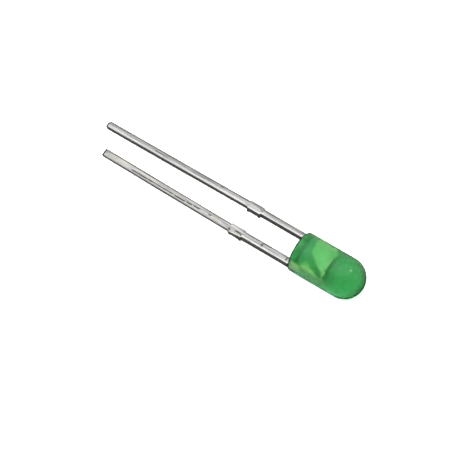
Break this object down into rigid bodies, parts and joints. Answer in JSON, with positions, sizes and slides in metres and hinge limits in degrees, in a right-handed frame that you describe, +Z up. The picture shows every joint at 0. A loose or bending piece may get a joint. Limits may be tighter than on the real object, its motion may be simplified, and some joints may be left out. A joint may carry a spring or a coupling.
{
  "type": "through hole led",
  "caption": "Round light-emitting diode with a domed green diffusing lens, no flange, and straight sheet-metal leads for through-hole soldering.",
  "frame": {"origin": "centre of the footprint, on the surface that the part lies on", "axes": "+X runs from the lead tips towards the dome, +Z is up; the body's own axis rises 4.3 degrees from +X"},
  "size_m": [0.0226, 0.003, 0.0033],
  "materials": {
    "tinted_epoxy": "glossy cast epoxy, tinted green and diffusing",
    "tinned_sheet": "dull tin plating on stamped sheet",
    "semiconductor": "sawn crystal with a metal pad",
    "silver_epoxy": "silver-filled adhesive",
    "gold": "bright drawn wire"
  },
  "bodies": {
    "root": {"lens": "tinted_epoxy", "anvil_lead": "tinned_sheet", "post_lead": "tinned_sheet", "die": "semiconductor", "die_attach": "silver_epoxy", "bond_wire": "gold"}
  },
  "joints": []
}
